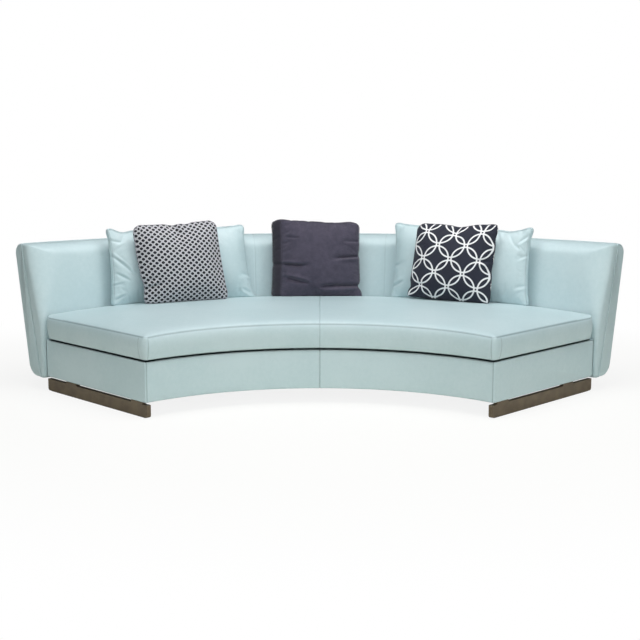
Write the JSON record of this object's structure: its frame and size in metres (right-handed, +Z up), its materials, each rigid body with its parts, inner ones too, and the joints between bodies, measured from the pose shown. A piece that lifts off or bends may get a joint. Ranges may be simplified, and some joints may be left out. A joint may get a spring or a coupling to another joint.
{
  "type": "curved sofa",
  "caption": "Curved sofa with a leaning wrap-around back, a one-piece crowned seat cushion, metal blade feet and loose leather and cloth cushions.",
  "frame": {"origin": "on the floor, under the middle of the overall bounding box", "axes": "+X to the viewer's right, seen from the front, along the longest side; +Z up; the open front faces -Y"},
  "size_m": [3.4726, 1.5714, 0.935],
  "materials": {
    "leather": "semi-matte pale blue-green upholstery leather with stitched seams",
    "foam": "upholstery foam and wadding",
    "plywood": "birch plywood, raw",
    "webbing": "elastic seat webbing",
    "dust_cloth": "black non-woven cloth",
    "bronze": "satin bronze-brown lacquered steel",
    "steel": "zinc-plated steel",
    "glide": "black plastic",
    "filling": "cushion filling in a cotton lining",
    "weave_print": "cotton with a small basket weave pattern",
    "plain_weave": "plain dark wool weave",
    "trellis_print": "dark cotton with a pale trellis"
  },
  "bodies": {
    "root": {"back_bottom_rail": "plywood", "back_end_former_left": "plywood", "back_end_former_right": "plywood", "back_former_1": "plywood", "back_former_2": "plywood", "back_former_3": "plywood", "back_former_4": "plywood", "back_former_5": "plywood", "back_outer_cover": "leather", "back_pad": "leather", "back_panel": "plywood", "back_skin": "plywood", "back_ties": "steel", "back_top_rail": "plywood", "base_cover": "leather", "base_end_rail_left": "plywood", "base_end_rail_right": "plywood", "base_front_rail": "plywood", "base_padding": "foam", "base_rear_rail": "plywood", "base_rib_1": "plywood", "base_rib_2": "plywood", "base_rib_3": "plywood", "base_rib_4": "plywood", "base_rib_5": "plywood", "blade_glide_left": "glide", "blade_glide_right": "glide", "corner_block_1": "plywood", "corner_block_2": "plywood", "corner_block_3": "plywood", "corner_block_4": "plywood", "dust_cloth": "dust_cloth", "foot_blade_left": "bronze", "foot_blade_right": "bronze", "foot_studs": "steel", "seat_webbing": "webbing", "support_foot_1": "glide", "support_foot_2": "glide", "support_foot_3": "glide", "support_glides": "glide"},
    "seat_cushion": {"seat_cover": "leather", "seat_core": "foam"},
    "back_cushion_left": {"back_cushion_left_cover": "leather", "back_cushion_left_insert": "filling"},
    "back_cushion_right": {"back_cushion_right_cover": "leather", "back_cushion_right_insert": "filling"},
    "throw_left": {"throw_left_cover": "weave_print", "throw_left_insert": "filling"},
    "throw_middle": {"throw_middle_cover": "plain_weave", "throw_middle_insert": "filling"},
    "throw_right": {"throw_right_cover": "trellis_print", "throw_right_insert": "filling"}
  },
  "joints": [
    {"name": "seat_cushion_lift", "type": "slide", "parent": "root", "child": "seat_cushion", "axis": [0, 0, 1], "range_m": [0, 0.3]},
    {"name": "back_cushion_left_lift", "type": "slide", "parent": "seat_cushion", "child": "back_cushion_left", "axis": [-0.0626, 0.1527, 0.9863], "range_m": [0, 0.4]},
    {"name": "back_cushion_right_lift", "type": "slide", "parent": "seat_cushion", "child": "back_cushion_right", "axis": [0.0626, 0.1527, 0.9863], "range_m": [0, 0.4]},
    {"name": "throw_left_lift", "type": "slide", "parent": "seat_cushion", "child": "throw_left", "axis": [-0.0626, 0.1527, 0.9863], "range_m": [0, 0.4]},
    {"name": "throw_middle_lift", "type": "slide", "parent": "seat_cushion", "child": "throw_middle", "axis": [0, 0.165, 0.9863], "range_m": [0, 0.4]},
    {"name": "throw_right_lift", "type": "slide", "parent": "seat_cushion", "child": "throw_right", "axis": [0.0626, 0.1527, 0.9863], "range_m": [0, 0.4]}
  ]
}
